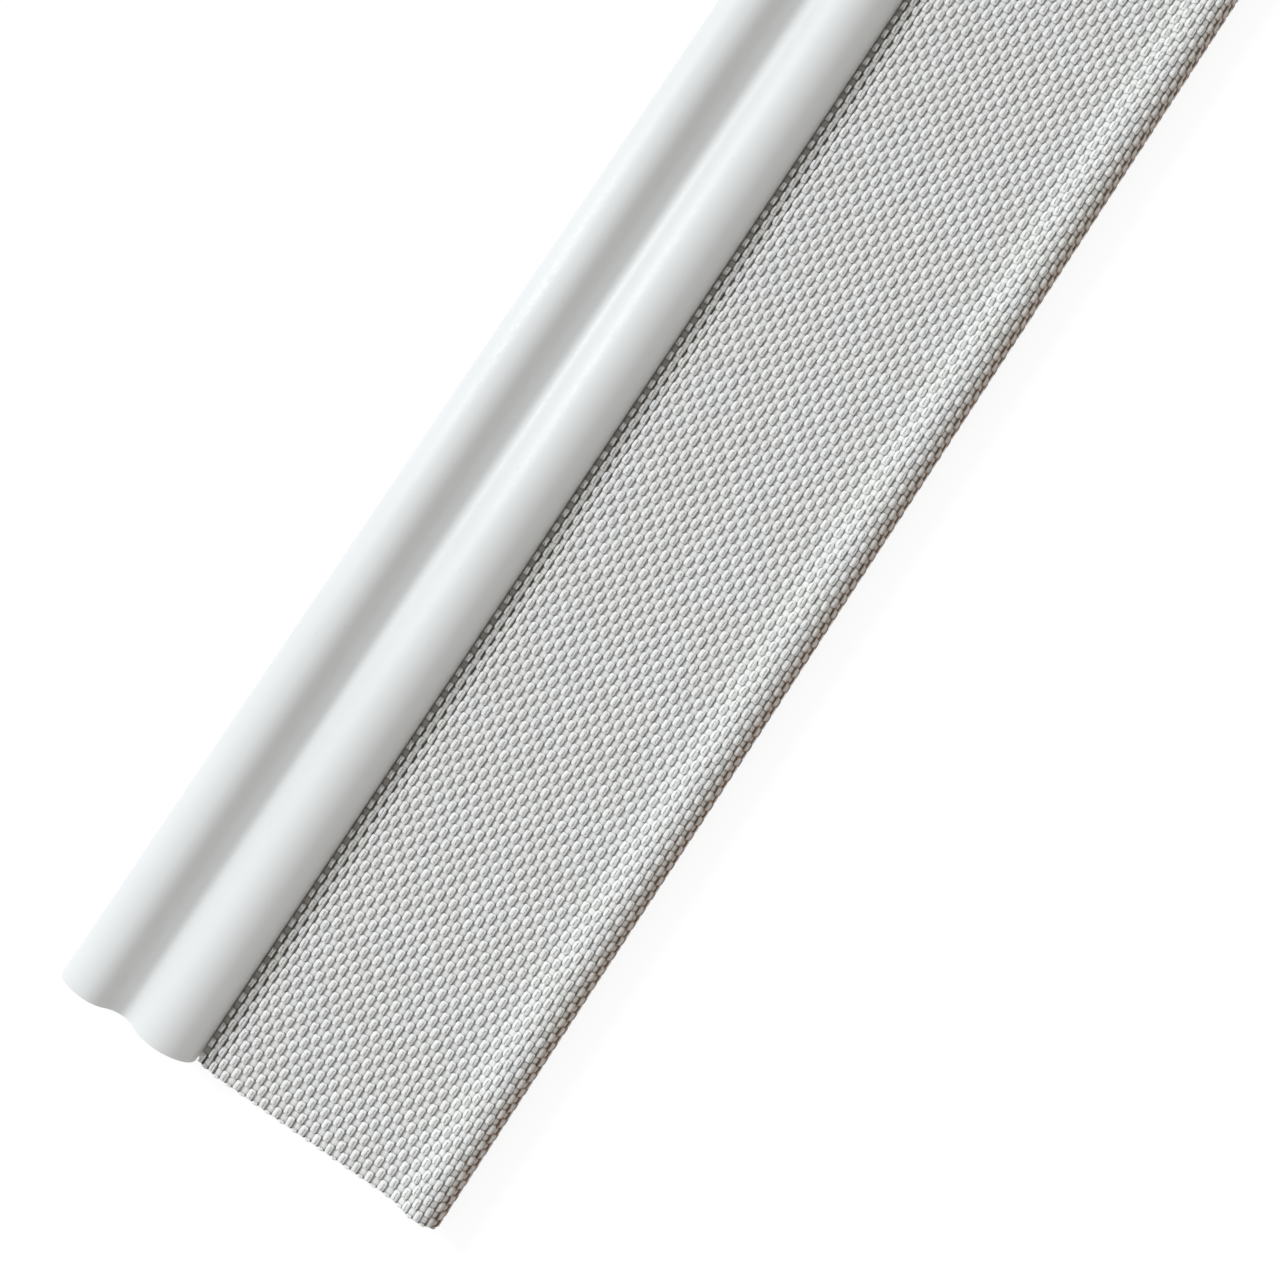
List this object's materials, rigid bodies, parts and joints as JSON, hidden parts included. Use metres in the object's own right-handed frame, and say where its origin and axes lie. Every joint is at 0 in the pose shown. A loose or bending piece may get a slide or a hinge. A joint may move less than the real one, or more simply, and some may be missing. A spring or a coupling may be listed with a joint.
{
  "type": "door sweep",
  "caption": "Self-adhesive door sweep strip: a soft two-lobed seal along one edge, a cloth-covered band and a rolled bead along the other.",
  "frame": {"origin": "middle of the strip's length and width, on the surface that it lies on, which is the back of the release liners", "axes": "+X along the strip, +Y across it towards the seal's free edge, +Z out of the cloth face; the strip lies on its back, face up"},
  "size_m": [0.914, 0.05, 0.0055],
  "materials": {
    "cloth": "coarse plain-coloured weave of paired yarns, matt with a slight sheen",
    "seal_skin": "smooth satin white skin",
    "lobe_foam": "fine closed-cell white foam",
    "backing_film": "thin matt white film",
    "stiffener": "dense off-white foam sheet",
    "bead_foam": "soft white foam",
    "glue": "milky hot-melt glue",
    "foam_tape": "white foam tape with clear adhesive on both faces",
    "liner_paper": "smooth waxed release paper"
  },
  "bodies": {
    "band": {"fabric_facing": "cloth", "band_stiffener": "stiffener", "edge_bead_core": "bead_foam", "glue_line": "glue", "seal_flange": "backing_film", "lower_tape": "foam_tape", "upper_tape": "foam_tape"},
    "seal": {"seal_skin": "seal_skin", "outer_lobe_foam": "lobe_foam", "inner_lobe_foam": "lobe_foam", "seal_backing": "backing_film"},
    "lower_liner": {"lower_liner": "liner_paper"},
    "upper_liner": {"upper_liner": "liner_paper"}
  },
  "joints": [
    {"name": "seal_flex", "type": "hinge", "parent": "band", "child": "seal", "pos_m": [0, 0.00702, 0.00055], "axis": [1, 0, 0], "range_deg": [-30, 15], "stiffness_Nm_per_rad": 0.15},
    {"name": "lower_liner_peel", "type": "slide", "parent": "band", "child": "lower_liner", "axis": [-1, 0, 0], "range_m": [0, 0.914]},
    {"name": "upper_liner_peel", "type": "slide", "parent": "band", "child": "upper_liner", "axis": [-1, 0, 0], "range_m": [0, 0.914]}
  ]
}
